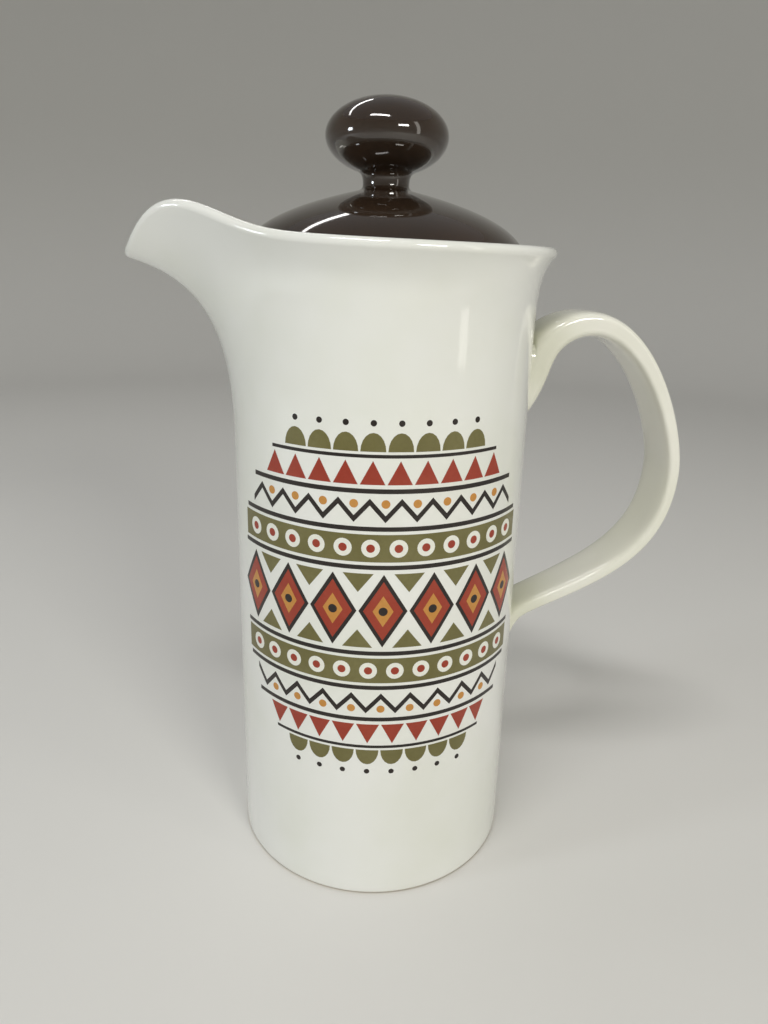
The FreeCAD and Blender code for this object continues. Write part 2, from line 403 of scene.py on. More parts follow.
@dataclass(frozen=True)
class BrownGlaze:
    """Dark brown gloss glaze that runs thin and redder on edges, wiped off the lid's seat."""

    name: str = "brown_glaze"
    colour: Colour = fired(47, 36, 27)
    thin: Colour = fired(82, 59, 42)
    biscuit: Colour = fired(188, 164, 132)
    speck: Colour = fired(20, 13, 10)
    specks: Specks = Specks(cells_per_metre=420.0, radius=0.12, share=0.2, strength=0.5)
    shine: Shine = Shine(
        roughness=0.05,
        smear=0.04,
        smear_scale=80.0,
        bare_roughness=0.7,
        coat=0.55,
        coat_roughness=0.02,
        refraction=1.62,
        wave_scale=40.0,
        peel_scale=700.0,
        depth=0.2 * MM,
    )
    edge_fade: float = 0.5 * MM
    edge_thinning: float = 0.5
    seat_fade: Pair = (0.05 * MM, 0.15 * MM)
    skirt_fade: float = 0.1 * MM
    cloud_scale: float = 34.0
    cloud_range: Pair = (0.4, 0.8)
    cloud_thinning: float = 0.25

    def material(self, rim_radius: float, skirt_radius: float, seat_height: float) -> Material:
        """The finish of the lid and knob.

        Args:
            rim_radius: Radius of the lid's edge, where the glaze runs thin.
            skirt_radius: Radius at which the lid's seat starts.
            seat_height: Height of the seat, which is wiped.

        Returns:
            The material.
        """
        shader = ShaderTree(self.name)
        x, y, z = shader.axes(shader.place)
        radius = shader.math("SQRT", x * x + y * y)
        edge = radius.between(rim_radius - self.edge_fade, rim_radius)
        below = 1 - z.between(*(seat_height + fade for fade in self.seat_fade))
        wiped = below * radius.between(skirt_radius, skirt_radius + self.skirt_fade)
        clouds = shader.noise(self.cloud_scale, detail=3.0).between(*self.cloud_range)
        thinned = clouds * self.cloud_thinning + edge * self.edge_thinning
        glazed = shader.blend(thinned, self.colour, self.thin)
        glazed = shader.blend(self.specks.mask(shader), glazed, self.speck)
        shader.feed("Base Color", shader.blend(wiped, glazed, self.biscuit))
        shader.bump(self.shine.dress(shader, wiped), self.shine.depth)
        return shader.material


class Ink(Enum):
    """The enamel colours of the transfer."""

    BROWN = fired(26, 17, 13)
    OLIVE = fired(108, 102, 56)
    RUST = fired(154, 50, 28)
    OCHRE = fired(198, 136, 58)
    WHITE = fired(238, 238, 228)


@dataclass(frozen=True)
class Enamel:
    """A screen-printed enamel colour, a little uneven where it was pulled and fired."""

    ink: Ink
    roughness: float = 0.14
    dulling: float = 0.08
    mottle_scale: float = 900.0
    mottle_range: Pair = (0.3, 0.8)
    mottle_strength: float = 0.35
    mottle_shade: float = 0.8
    mottle_height: float = 0.01
    drift_scale: float = 70.0
    drift_range: Pair = (0.3, 0.7)
    drift_strength: float = 0.6
    drift_paling: float = 0.3
    paling_power: float = 0.6
    wave_scale: float = 28.0
    depth: float = 0.25 * MM

    def material(self) -> Material:
        """The finish of one ink.

        Returns:
            The material.
        """
        shader = ShaderTree("enamel_" + self.ink.name.lower())
        mottle = shader.noise(self.mottle_scale, detail=3.0, roughness=0.6).between(*self.mottle_range)
        drift = shader.noise(self.drift_scale).between(*self.drift_range)
        paler = tuple(c + self.drift_paling * (c**self.paling_power - c) for c in self.ink.value)
        darker = tuple(c * self.mottle_shade for c in self.ink.value)
        colour = shader.blend(drift * self.drift_strength, self.ink.value, paler)
        shader.feed("Base Color", shader.blend(mottle * self.mottle_strength, colour, darker))
        shader.feed("Roughness", self.roughness + mottle * self.dulling)
        shader.bump(shader.noise(self.wave_scale, detail=1.0) + mottle * self.mottle_height, self.depth)
        return shader.material


class SocketKind(Enum):
    """The kinds of named input that the geometry trees take."""

    NUMBER = "NodeSocketFloat"
    COUNT = "NodeSocketInt"
    FINISH = "NodeSocketMaterial"


class GeometryTree(Tree):
    """A geometry tree with named inputs, which turns into plain meshes."""

    def __init__(self, name: str, inputs: Mapping[str, SocketKind]) -> None:
        """Starts a tree.

        Args:
            name: The tree's name.
            inputs: Its named inputs, next to the geometry that it starts from.
        """
        super().__init__(bpy.data.node_groups.new(name, "GeometryNodeTree"))
        face = self.tree.interface
        face.new_socket("Start", in_out="INPUT", socket_type="NodeSocketGeometry")
        face.new_socket("Result", in_out="OUTPUT", socket_type="NodeSocketGeometry")
        names = {**inputs, "Finish": SocketKind.FINISH}
        self.identifiers = {
            key: face.new_socket(key, in_out="INPUT", socket_type=kind.value).identifier
            for key, kind in names.items()
        }
        self.given = self.node("NodeGroupInput").outputs

    def number(self, name: str) -> Value:
        """A named input, for use in expressions."""
        return Value(self, self.given[name])

    def geometry(self, kind: str, settings: Mapping[str, Any], inputs: Inputs) -> Socket:
        """Adds a node and gives its first output."""
        return self.node(kind, settings, inputs).outputs[0]

    def position(self) -> tuple[Value, Value, Value]:
        """The parts of each point's position."""
        return self.axes(self.node("GeometryNodeInputPosition").outputs[0])

    def placed(self, shape: Socket, x: Number, y: Number, z: Number) -> Socket:
        """The shape with its points put at new places."""
        inputs = {"Geometry": shape, "Position": self.vector(x, y, z)}
        return self.geometry("GeometryNodeSetPosition", {}, inputs)

    def merged(self, shape: Socket) -> Socket:
        """The shape with points that lie together made one."""
        inputs = {"Geometry": shape, "Distance": MERGE_DISTANCE}
        return self.geometry("GeometryNodeMergeByDistance", {}, inputs)

    def finish(self, shape: Socket) -> None:
        """Ends the tree with its shape made real and given its finish.

        Args:
            shape: The shape.
        """
        real = self.geometry("GeometryNodeRealizeInstances", {}, {0: shape})
        inputs = {"Geometry": real, "Material": self.given["Finish"]}
        dressed = self.geometry("GeometryNodeSetMaterial", {}, inputs)
        self.node("NodeGroupOutput", {}, {0: dressed})

    def mesh(self, start: Mesh, values: Mapping[str, Any]) -> Mesh:
        """Runs the tree once.

        Args:
            start: The mesh that the tree starts from.
            values: Its inputs by name.

        Returns:
            The result as a plain mesh.
        """
        carrier = bpy.data.objects.new(self.tree.name, start)
        bpy.context.scene.collection.objects.link(carrier)
        modifier = carrier.modifiers.new("shape", "NODES")
        modifier.node_group = self.tree
        for name, item in values.items():
            modifier[self.identifiers[name]] = item
        graph = bpy.context.evaluated_depsgraph_get()
        result = bpy.data.meshes.new_from_object(carrier.evaluated_get(graph))
        carrier.modifiers.remove(modifier)
        bpy.data.objects.remove(carrier)
        return result


class Body(Enum):
    """The bodies that pieces ride on."""

    POT = "pot"
    LID = "lid"


@dataclass(frozen=True)
class Piece:
    """A finished mesh and what it stands for."""

    name: str
    body: Body
    slot: str
    stands_for: tuple[str, ...] = ()
    sharp_angle: float = math.radians(40)

    def place(self, mesh: Mesh, finish: Optional[Material] = None) -> None:
        """Puts the mesh in the scene on its body.

        Args:
            mesh: The piece's mesh, in the part's frame.
            finish: Its material, where the mesh has none yet.
        """
        mesh.name = self.name
        if finish is not None:
            mesh.materials.append(finish)
        mesh.shade_smooth()
        mesh.set_sharp_from_angle(angle=self.sharp_angle)
        thing = bpy.data.objects.new(self.name, mesh)
        bpy.context.scene.collection.objects.link(thing)
        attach(thing, self.body.value)
        if self.stands_for:
            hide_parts(*self.stands_for)
        LOG.info("%s: %d faces on body %s", self.name, len(mesh.polygons), self.body.value)


def facing_out(points: np.ndarray, faces: list[tuple[int, ...]]) -> Shell:
    """A closed skin with its faces turned to point outwards, by the sign of the volume inside it.

    Args:
        points: Its points.
        faces: Its faces, which all point the same way.

    Returns:
        Its points and its faces.
    """
    fans = [(face[0], face[k], face[k + 1]) for face in faces for k in range(1, len(face) - 1)]
    a, b, c = points[np.array(fans)].transpose(1, 0, 2)
    if np.einsum("ij,ij->i", a, np.cross(b, c)).sum() < 0:
        faces = [face[::-1] for face in faces]
    return points, faces


def lofted(rows: Sequence[np.ndarray]) -> Shell:
    """A closed skin over closed rows of points, with a fan over each end.

    Args:
        rows: Loops of as many points each.

    Returns:
        Its points and its faces.
    """
    count = len(rows[0])
    points = np.vstack([rows[0].mean(0)[None], *rows, rows[-1].mean(0)[None]])
    last = len(points) - 1
    faces: list[tuple[int, ...]] = []
    for i in range(count):
        j = (i + 1) % count
        faces.append((0, 1 + j, 1 + i))
        for row in range(len(rows) - 1):
            a = 1 + row * count
            faces.append((a + i, a + j, a + count + j, a + count + i))
        a = 1 + (len(rows) - 1) * count
        faces.append((a + i, a + j, last))
    return facing_out(points, faces)


def shell_of(mesh: Mesh) -> Shell:
    """The points and faces of a mesh of closed skins."""
    points = np.array([vertex.co for vertex in mesh.vertices])
    return facing_out(points, [tuple(face.vertices) for face in mesh.polygons])


def joined(name: str, shells: Sequence[Shell]) -> Mesh:
    """One mesh of several skins.

    Args:
        name: The mesh's name.
        shells: The skins.

    Returns:
        The mesh.
    """
    points: list[np.ndarray] = []
    faces: list[tuple[int, ...]] = []
    start = 0
    for shell_points, shell_faces in shells:
        faces += [tuple(start + i for i in face) for face in shell_faces]
        points.append(shell_points)
        start += len(shell_points)
    mesh = bpy.data.meshes.new(name)
    mesh.from_pydata(np.vstack(points).tolist(), [], faces)
    mesh.update()
    return mesh


def bezier(poles: Sequence[Pair], shares: Any) -> np.ndarray:
    """Points of a cubic curve.

    Args:
        poles: Its four poles in the half section.
        shares: How far along it each point lies, from 0 to 1.

    Returns:
        One point for each share.
    """
    s = np.asarray(shares, float)[..., None]
    p = np.asarray(poles, float)
    return (1 - s) ** 3 * p[0] + 3 * s * (1 - s) ** 2 * p[1] + 3 * s**2 * (1 - s) * p[2] + s**3 * p[3]


def curve(poles: Sequence[Pair], steps: int) -> Profile:
    """Points of a cubic curve in the half section, in even steps from end to end."""
    return [tuple(point) for point in bezier(poles, np.linspace(0, 1, steps + 1))]


def raised(start: Pair, pull: Pair, end: Pair) -> np.ndarray:
    """The four poles of the cubic curve that is the same as a curve with one pull between its ends."""
    a, b, c = [np.asarray(point, float) for point in (start, pull, end)]
    return np.stack([a, (a + 2 * b) / 3, (c + 2 * b) / 3, c])


def round_edge(centre: Pair, radius: float, start: float, end: float, steps: int) -> Profile:
    """Points of a round edge in the half section, from a start to an end angle in degrees."""
    angles = np.radians(np.linspace(start, end, steps + 1))
    return [(centre[0] + radius * math.cos(a), centre[1] + radius * math.sin(a)) for a in angles]


def pulled(point: Pair, pull: float, angle: float) -> Pair:
    """A point in the half section, moved by a pull at an angle above level."""
    return point[0] + pull * math.cos(angle), point[1] + pull * math.sin(angle)


def unit(vectors: np.ndarray) -> np.ndarray:
    """Rows of vectors, each brought to length 1."""
    return vectors / np.linalg.norm(vectors, axis=1)[:, None]


@dataclass(frozen=True)
class Barrel:
    """The barrel's outer form: a slight taper that flares out under the rim."""

    foot_radius: float = 50.0 * MM
    neck_radius: float = 48.8 * MM
    rim_height: float = 212.5 * MM
    rim_thickness: float = 3.4 * MM
    rim_flare: float = 4.6 * MM
    rim_flare_length: float = 5.0 * MM
    wall: float = 4.0 * MM

    @property
    def rim_edge_height(self) -> float:
        """Height at which the wall turns over into the round of the rim."""
        tilt = math.atan(self.rim_flare / self.rim_flare_length)
        return self.rim_height - self.rim_thickness / 2 * (1 + math.sin(tilt))

    @property
    def taper(self) -> float:
        """Growth of the radius with height."""
        return (self.neck_radius - self.foot_radius) / self.rim_edge_height

    def radius(self, height: Any) -> Any:
        """Outer radius at a height or heights, away from the lip."""
        flare = self.rim_flare * np.exp((height - self.rim_edge_height) / self.rim_flare_length)
        return self.foot_radius + self.taper * height + flare

    def point(self, drop: float) -> Pair:
        """Radius and height of the outer wall at a drop below the rim."""
        height = self.rim_height - drop
        return self.radius(height), height


@dataclass(frozen=True)
class PotBody:
    """The slip-cast pot: barrel, foot ring, floor, rim, pouring lip and the gallery that carries the lid."""

    barrel: Barrel = Barrel()
    foot_edge_radius: float = 1.5 * MM
    foot_ring_width: float = 5.0 * MM
    foot_ring_softness: float = 0.4 * MM
    foot_recess_depth: float = 2.5 * MM
    floor_thickness: float = 5.0 * MM
    floor_corner_radius: float = 8.0 * MM
    lip_length: float = 59.3 * MM
    lip_reach: float = 79.7 * MM
    lip_nose_drop: float = 4.5 * MM
    lip_nose_angle: float = math.radians(16.6)
    lip_rise: float = 38.2 * MM
    lip_run: float = 17.5 * MM
    lip_spread: float = math.radians(25.1)
    crest_lift: float = 10.6 * MM
    crest_angle: float = math.radians(19.1)
    crest_sharpness: float = 4.1
    crest_onset: int = 3
    rim_sweep: float = 3.0 * MM
    rim_sweep_spread: float = math.radians(70.0)
    rim_onset: int = 4
    gallery_drop: float = 6.5 * MM
    gallery_edge_height: float = 4.0 * MM
    gallery_edge_radius: float = 1.0 * MM
    gallery_open_angle: float = math.radians(46.0)
    columns: int = 320
    first_row: float = 0.015
    barrel_rows: int = 20
    first_inner_row: float = 0.02
    inner_barrel_rows: int = 14
    outer_steps: int = 72
    rim_steps: int = 14
    inner_steps: int = 48
    gallery_steps: int = 160

    @property
    def lip_start(self) -> float:
        """Height at which the lip's keel leaves the barrel."""
        return self.barrel.rim_height - self.lip_length

    @property
    def seat_height(self) -> float:
        """Height of the gallery's ledge."""
        return self.barrel.rim_height - self.gallery_drop

    def keel(self, s: float) -> np.ndarray:
        """The middle of the lip's underside.

        Args:
            s: Share of the way from the lip's start, 0, to its nose, 1.

        Returns:
            Radius and height.
        """
        along = (math.cos(self.lip_nose_angle), math.sin(self.lip_nose_angle))
        half = self.barrel.rim_thickness / 2
        start = self.barrel.point(self.lip_length)
        nose_height = self.barrel.rim_height - self.lip_nose_drop - half * along[0]
        nose = (self.lip_reach - half * (1 - along[1]), nose_height)
        rise = (start[0] + self.barrel.taper * self.lip_rise, start[1] + self.lip_rise)
        run = pulled(nose, -self.lip_run, self.lip_nose_angle)
        return bezier((start, rise, run, nose), s)

    def outer(self, angle: np.ndarray, s: float) -> np.ndarray:
        """Points of the outer wall.

        Args:
            angle: Angles from the lip's middle.
            s: Share of the way from the lip's start, 0, to the rim, 1.

        Returns:
            One point for each angle.
        """
        keel_radius, keel_height = self.keel(s)
        nose_height = self.keel(1.0)[1]
        climb = (keel_height - self.lip_start) / (nose_height - self.lip_start)
        level = self.lip_start + climb * (self.barrel.rim_edge_height - self.lip_start)
        lip = np.exp(-((angle / self.lip_spread) ** 2))
        ratio = np.abs(angle) / self.crest_angle
        crest = self.crest_lift * (ratio * np.exp(1 - ratio)) ** self.crest_sharpness
        sweep = self.rim_sweep * np.exp(-((angle / self.rim_sweep_spread) ** 2))
        onset = s**self.crest_onset
        radius = self.barrel.radius(level) * (1 - lip) + keel_radius * lip
        height = (level + sweep * onset) * (1 - lip) + keel_height * lip + crest * onset
        return np.stack([-radius * np.cos(angle), radius * np.sin(angle), height], -1)

    def frame(self, angle: np.ndarray, s: float) -> tuple[np.ndarray, np.ndarray]:
        """How the outer wall lies.

        Args:
            angle: Angles from the lip's middle.
            s: Share of the way from the lip's start to the rim.

        Returns:
            The wall's outward normals, and the directions that lead on over its rim.
        """
        step = 1e-4
        across = self.outer(angle + step, s) - self.outer(angle - step, s)
        upward = self.outer(angle, s + step) - self.outer(angle, s - step)
        normal = unit(np.cross(upward, across))
        return normal, np.cross(unit(across), normal)

    def rim_row(self, angle: np.ndarray, turn: float) -> np.ndarray:
        """Points of the rounded rim.

        Args:
            angle: Angles from the lip's middle.
            turn: Turn from the rim's outer edge, 0, to its inner edge, pi.

        Returns:
            One point for each angle.
        """
        normal, onward = self.frame(angle, 1.0)
        half = self.barrel.rim_thickness / 2
        centre = self.outer(angle, 1.0) - normal * half
        return centre + normal * (half * math.cos(turn)) + onward * (half * math.sin(turn))

    def inner(self, angle: np.ndarray, s: float) -> np.ndarray:
        """Points of the inner wall, one wall thickness in."""
        thickness = self.barrel.wall + (self.barrel.rim_thickness - self.barrel.wall) * s**self.rim_onset
        return self.outer(angle, s) - self.frame(angle, s)[0] * thickness

    def foot_profile(self) -> Profile:
        """The pot's foot.

        Returns:
            Half section from the middle of the underside round the foot ring to the lip's start.
        """
        edge = self.foot_edge_radius
        depth = self.foot_recess_depth
        soft = self.foot_ring_softness
        ring_outside = self.barrel.foot_radius - edge
        ring_inside = ring_outside - self.foot_ring_width
        recess = ring_inside - depth / 2
        points = [(recess * share, depth) for share in (0.1, 0.4, 0.7, 0.97)]
        points += [(recess, depth - soft), (ring_inside - soft / 2, soft), (ring_inside + soft, 0.0)]
        points += round_edge((ring_outside, edge), edge, -90, 0, 6)
        for share in np.linspace(self.first_row, 1.0, self.barrel_rows)[:-1]:
            height = edge + share * (self.lip_start - edge)
            points.append((self.barrel.radius(height), height))
        return points

    def inside_profile(self) -> Profile:
        """The pot's inside below the lip.

        Returns:
            Half section down the inner wall from the lip's start to the middle of the floor.
        """
        round_in = self.floor_corner_radius
        floor = self.foot_recess_depth + self.floor_thickness
        centre = (self.barrel.foot_radius - self.barrel.wall - round_in, floor + round_in)
        points = []
        for share in np.linspace(1.0, self.first_inner_row, self.inner_barrel_rows)[1:]:
            height = centre[1] + share * (self.lip_start - centre[1])
            points.append((self.barrel.radius(height) - self.barrel.wall, height))
        points += round_edge(centre, round_in, 0, -90, 8)
        points += [(centre[0] * share, floor) for share in (0.7, 0.4, 0.1)]
        return points

    def wall_shell(self) -> Shell:
        """Barrel, lip, rim, inner wall and floor.

        Returns:
            One closed skin.
        """
        angle = np.linspace(-math.pi, math.pi, self.columns, endpoint=False)
        ring = np.stack([-np.cos(angle), np.sin(angle)], -1)
        levels = [
            [np.column_stack([ring * radius, np.full(self.columns, height)]) for radius, height in profile]
            for profile in (self.foot_profile(), self.inside_profile())
        ]
        outer = [self.outer(angle, s) for s in np.linspace(0, 1, self.outer_steps + 1)]
        rim = [self.rim_row(angle, turn) for turn in np.linspace(0, math.pi, self.rim_steps + 1)[1:-1]]
        inner = [self.inner(angle, s) for s in np.linspace(1, 0, self.inner_steps + 1)]
        return lofted([*levels[0], *outer, *rim, *inner, *levels[1]])

    def gallery_profile(self, bore: float) -> Profile:
        """The ledge that carries the lid.

        Args:
            bore: Radius of its bore.

        Returns:
            Its closed half section, buried in the wall at its back.
        """
        edge = self.gallery_edge_radius
        seat = self.seat_height
        lower = seat - self.gallery_edge_height
        half_wall = self.barrel.wall / 2
        root = lower - (self.barrel.radius(lower) - half_wall - bore)
        points = [(self.barrel.radius(height) - half_wall, height) for height in (root, seat)]
        points += round_edge((bore + edge, seat - edge), edge, 90, 180, 6)
        points += round_edge((bore + edge, lower), edge, 180, 225, 3)
        return points

    def gallery_shell(self, bore: float) -> Shell:
        """The ledge, from one side of the lip round to the other.

        Args:
            bore: Radius of its bore.

        Returns:
            One closed skin.
        """
        radius, height = np.array(self.gallery_profile(bore)).T
        start = self.gallery_open_angle
        angles = np.linspace(start, TURN - start, self.gallery_steps + 1)
        return lofted([np.column_stack([-np.cos(a) * radius, np.sin(a) * radius, height]) for a in angles])

    def build(self, bore: float, finish: Material) -> None:
        """Makes the pot.

        Args:
            bore: Radius of the gallery's bore.
            finish: The glaze.
        """
        mesh = joined("pot", [self.wall_shell(), self.gallery_shell(bore)])
        Piece("pot_body_glazed", Body.POT, "white_glaze", ("pot_body",)).place(mesh, finish)


@dataclass(frozen=True)
class StrapHandle:
    """The strap handle, which grows out of the wall at two roots and reaches furthest at its knuckle."""

    barrel: Barrel = Barrel()
    top_drop: float = 33.6 * MM
    top_angle: float = math.radians(47.8)
    top_pull: float = 44.9 * MM
    knuckle_drop: float = 74.5 * MM
    knuckle_reach: float = 103.9 * MM
    knuckle_pull_up: float = 19.5 * MM
    knuckle_pull_down: float = 32.3 * MM
    bottom_drop: float = 128.1 * MM
    bottom_angle: float = math.radians(25.6)
    bottom_pull: float = 32.2 * MM
    width: float = 21.1 * MM
    narrowing: float = 5.3 * MM
    narrowing_length: float = 29.7 * MM
    thickness: float = 5.3 * MM
    squareness: float = 4.2
    swell: float = 2.2 * MM
    swell_length: float = 42.8 * MM
    swell_fade: float = 1.5
    root_flare: float = 3.0 * MM
    root_length: float = 4.9 * MM
    root_depth: float = 2.4 * MM
    top_web_depth: float = 14.0 * MM
    top_web_length: float = 3.2 * MM
    bottom_web_depth: float = 5.3 * MM
    bottom_web_length: float = 1.6 * MM
    stations: int = 90
    crowding: float = 1.5
    section_points: int = 96

    def path(self) -> np.ndarray:
        """The middle of the strap.

        Returns:
            Radius and height of points along it, closest together near its roots.
        """
        top, bottom = self.barrel.point(self.top_drop), self.barrel.point(self.bottom_drop)
        leave = pulled(top, self.top_pull, self.top_angle)
        meet = pulled(bottom, self.bottom_pull, self.bottom_angle)
        reach, height = self.knuckle_reach, self.barrel.rim_height - self.knuckle_drop
        above, below = (reach, height + self.knuckle_pull_up), (reach, height - self.knuckle_pull_down)
        shares = np.linspace(0, 1, self.stations) ** self.crowding
        upper = bezier((top, leave, above, (reach, height)), shares)
        lower = bezier(((reach, height), below, meet, bottom), 1 - shares[::-1])
        return np.vstack([upper, lower[1:]])

    def roots(self) -> list[Point]:
        """The points where the strap meets the wall."""
        path = self.path()
        return [(float(point[0]), 0.0, float(point[1])) for point in (path[0], path[-1])]

    def loop(self, point: np.ndarray, along: np.ndarray, out: float, into: float, wide: float) -> np.ndarray:
        """A flattened loop across the strap.

        Args:
            point: Where the strap's path meets it.
            along: Direction of the path there.
            out: How far it reaches to the outside of the path.
            into: How far it reaches to the inside of the path.
            wide: Its width.

        Returns:
            Its points.
        """
        turn = np.linspace(0, TURN, self.section_points, endpoint=False)
        round_loop = np.stack([np.cos(turn), np.sin(turn)])
        depth, side = np.sign(round_loop) * np.abs(round_loop) ** (2 / self.squareness)
        across = np.array([-along[1], along[0]])
        spine = point + across * (out - into) / 2 + np.outer(depth, across) * (out + into) / 2
        return np.stack([spine[:, 0], side * wide / 2, spine[:, 1]], -1)

    def sections(self) -> list[np.ndarray]:
        """Loops across the strap, which narrows downwards and is level, wider and deeper at its two roots.

        Returns:
            The loops, from the top down.
        """
        path = self.path()
        steps = np.linalg.norm(np.diff(path, axis=0), axis=1)
        from_top = np.concatenate([[0.0], np.cumsum(steps)])
        from_bottom = from_top[-1] - from_top
        root = np.exp(-np.minimum(from_top, from_bottom) / self.root_length)[:, None]
        ahead = np.where(from_top < from_bottom, 1.0, -1.0)
        level = np.stack([ahead, 0 * ahead], -1)
        along = unit(unit(np.gradient(path, axis=0)) * (1 - root) + level * root)
        half = self.thickness / 2 + self.swell * np.exp(-((from_top / self.swell_length) ** self.swell_fade))
        out = half + self.bottom_web_depth * np.exp(-from_bottom / self.bottom_web_length)
        into = half + self.top_web_depth * np.exp(-from_top / self.top_web_length)
        narrowed = self.narrowing * np.exp(-from_bottom / self.narrowing_length)
        wide = self.width - narrowed + self.root_flare * root[:, 0]
        return [self.loop(*station) for station in zip(path, along, out, into, wide)]

    def build(self, finish: Material) -> None:
        """Makes the handle, with its ends run into the wall.

        Args:
            finish: The glaze.
        """
        loops = self.sections()
        into_wall = np.array([-self.root_depth, 0.0, 0.0])
        mesh = joined("handle", [lofted([loops[0] + into_wall, *loops, loops[-1] + into_wall])])
        Piece("handle_glazed", Body.POT, "white_glaze", ("handle",)).place(mesh, finish)


class Lathe(GeometryTree):
    """A tree that turns the half section of a round piece about the axis."""

    def __init__(self) -> None:
        """Builds the tree."""
        super().__init__("turned_form", {"Columns": SocketKind.COUNT})
        start = self.given["Start"]
        rows = self.value("GeometryNodeAttributeDomainSize", {}, {0: start})
        columns = self.number("Columns") + 1
        size = {"Size X": 1.0, "Size Y": 1.0, "Vertices X": columns, "Vertices Y": rows}
        grid = self.geometry("GeometryNodeMeshGrid", {}, size)
        across, along, _ = self.position()
        row = self.math("ROUND", (along + 0.5) * (rows - 1))
        place = self.node("GeometryNodeInputPosition").outputs[0]
        sample = {"Geometry": start, "Value": place, "Index": row}
        point = self.geometry("GeometryNodeSampleIndex", {"data_type": "FLOAT_VECTOR"}, sample)
        radius, _, height = self.axes(point)
        angle = (0.5 - across) * TURN
        self.finish(self.merged(self.placed(grid, radius * angle.cos(), radius * angle.sin(), height)))

    def turn(self, name: str, profile: Profile, columns: int, finish: Material) -> Mesh:
        """Turns one piece.

        Args:
            name: The piece's name.
            profile: Points of its half section in order, from the axis on.
            columns: How many faces go round it.
            finish: Its material.

        Returns:
            The mesh.
        """
        start = bpy.data.meshes.new(name)
        start.from_pydata([(radius, 0.0, height) for radius, height in profile], [], [])
        return self.mesh(start, {"Columns": columns, "Finish": finish})


@dataclass(frozen=True)
class LidAssembly:
    """The domed lid with its seat and skirt, and the mushroom knob stuck on top."""

    pot: PotBody = PotBody()
    gap: float = 0.7 * MM
    seat_width: float = 3.8 * MM
    skirt_clearance: float = 0.7 * MM
    skirt_depth: float = 14.5 * MM
    skirt_thickness: float = 3.6 * MM
    edge_height: float = 2.0 * MM
    edge_radius: float = 0.6 * MM
    rise: float = 21.8 * MM
    thickness: float = 4.5 * MM
    shoulder: float = 10.3 * MM
    inner_shoulder: float = 6.18 * MM
    crown_run: float = 14.9 * MM
    crown_fall: float = 3.5 * MM
    knob_foot_radius: float = 8.7 * MM
    knob_foot_pull: float = 0.51 * MM
    knob_neck_radius: float = 7.2 * MM
    knob_neck_height: float = 1.7 * MM
    knob_radius: float = 18.8 * MM
    knob_belly_height: float = 15.2 * MM
    knob_height: float = 26.3 * MM
    knob_cove: float = 1.7 * MM
    columns: int = 256
    dome_steps: int = 48
    cave_steps: int = 32
    ball_steps: int = 72
    neck_steps: int = 12

    @property
    def radius(self) -> float:
        """Radius of the lid's edge."""
        return self.pot.barrel.neck_radius - self.pot.barrel.wall - self.gap

    @property
    def skirt_radius(self) -> float:
        """Outer radius of the skirt."""
        return self.radius - self.seat_width

    @property
    def bore(self) -> float:
        """Radius of the gallery's bore."""
        return self.skirt_radius + self.skirt_clearance

    @property
    def top(self) -> float:
        """Height of the flat on which the knob stands."""
        return self.pot.seat_height + self.rise

    def lid_profile(self) -> Profile:
        """The lid.

        Returns:
            Its half section, from the middle of its top round to the middle of its underside.
        """
        seat = self.pot.seat_height
        edge_top = seat + self.edge_height
        round_off = self.edge_radius
        inside = self.skirt_radius - self.skirt_thickness
        half = self.skirt_thickness / 2
        under = self.top - self.thickness
        crown = (self.knob_foot_radius + self.crown_run, self.top - self.crown_fall)
        shoulder = (self.radius, edge_top + self.shoulder)
        dome = ((self.knob_foot_radius, self.top), crown, shoulder, (self.radius, edge_top))
        vault = (crown[0], under - self.crown_fall / 2)
        cave = ((inside, edge_top), (inside, edge_top + self.inner_shoulder), vault, (0.0, under))
        shares = (0.05, 0.3, 0.6)
        points: Profile = [(0.0, self.top), (self.knob_foot_radius / 2, self.top)]
        points += curve(dome, self.dome_steps)
        points += round_edge((self.radius - round_off, seat + round_off), round_off, 0, -90, 5)
        points += [(self.skirt_radius, seat - self.skirt_depth * share) for share in (0.0, *shares)]
        points += round_edge((self.skirt_radius - half, seat - self.skirt_depth + half), half, 0, -180, 12)
        points += [(inside, seat - self.skirt_depth * share) for share in reversed(shares)]
        return points + curve(cave, self.cave_steps)

    def knob_profile(self) -> Profile:
        """The knob, a flattened ball on a waisted neck.

        Returns:
            Its half section, from its top down to the lid.
        """
        neck = (self.knob_neck_radius, self.top + self.knob_neck_height)
        belly = self.top + self.knob_belly_height
        half_height = self.knob_height - self.knob_belly_height
        turn = math.acos((self.knob_neck_radius + self.knob_cove) / self.knob_radius)
        angles = np.linspace(math.pi / 2, -turn, self.ball_steps + 1)
        points = [(self.knob_radius * math.cos(a), belly + half_height * math.sin(a)) for a in angles]
        fall = self.knob_cove * half_height * math.cos(turn) / (self.knob_radius * math.sin(turn))
        waist = (points[-1], (neck[0], points[-1][1] - fall), neck)
        foot = (neck, (neck[0], self.top + self.knob_foot_pull), (self.knob_foot_radius, self.top))
        for poles in (waist, foot):
            points += curve(raised(*poles), self.neck_steps)[1:]
        return points + [(0.0, self.top)]

    def build(self, lathe: Lathe, finish: Material) -> None:
        """Makes the lid and knob.

        Args:
            lathe: The tree that turns round pieces.
            finish: The glaze.
        """
        lid = lathe.turn("lid", self.lid_profile(), self.columns, finish)
        Piece("lid_glazed", Body.LID, "brown_glaze", ("lid",)).place(lid)
        knob = lathe.turn("knob", self.knob_profile(), self.columns, finish)
        Piece("lid_knob_glazed", Body.LID, "brown_glaze", ("lid_knob",)).place(knob)


